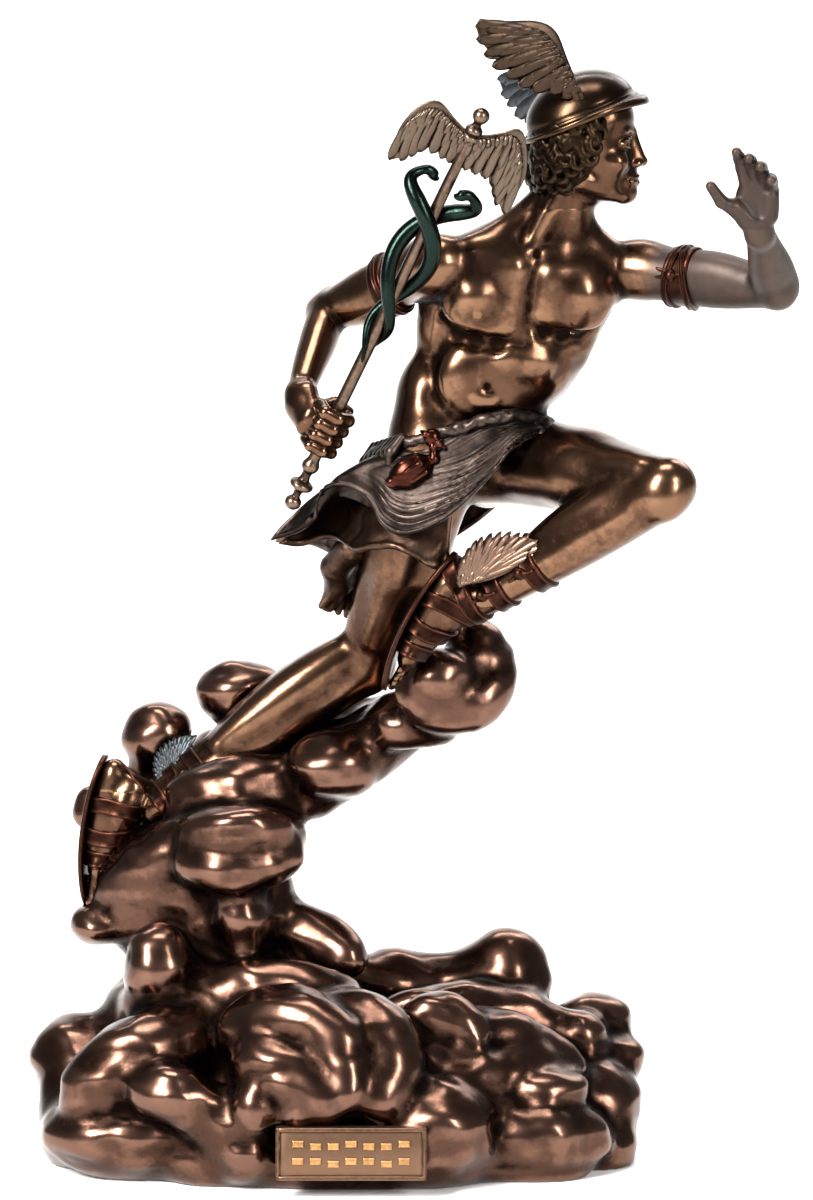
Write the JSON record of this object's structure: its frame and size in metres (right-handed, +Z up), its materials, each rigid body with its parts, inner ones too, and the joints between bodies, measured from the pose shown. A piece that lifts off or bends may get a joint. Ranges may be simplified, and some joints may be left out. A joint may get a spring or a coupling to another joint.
{
  "type": "winged messenger statuette",
  "caption": "Bronze-finished resin statuette of a winged messenger running over a bank of cloud, holding up a snake-wound staff.",
  "frame": {"origin": "middle of the plan, on the flat underside of the cloud base", "axes": "+Z up, +X the way the figure runs and looks, -Y the front, towards the viewer"},
  "size_m": [0.1923, 0.1153, 0.2884],
  "materials": {
    "figure_bronze": "polished dark bronze powder over cold-cast resin, darker in the hollows",
    "staff_bronze": "pale dry-brushed bronze, the snakes glazed dark green",
    "cloud_bronze": "polished reddish-brown bronze powder over cold-cast resin"
  },
  "bodies": {
    "root": {"figure": "figure_bronze", "caduceus": "staff_bronze", "cloud_base": "cloud_bronze"}
  },
  "joints": []
}
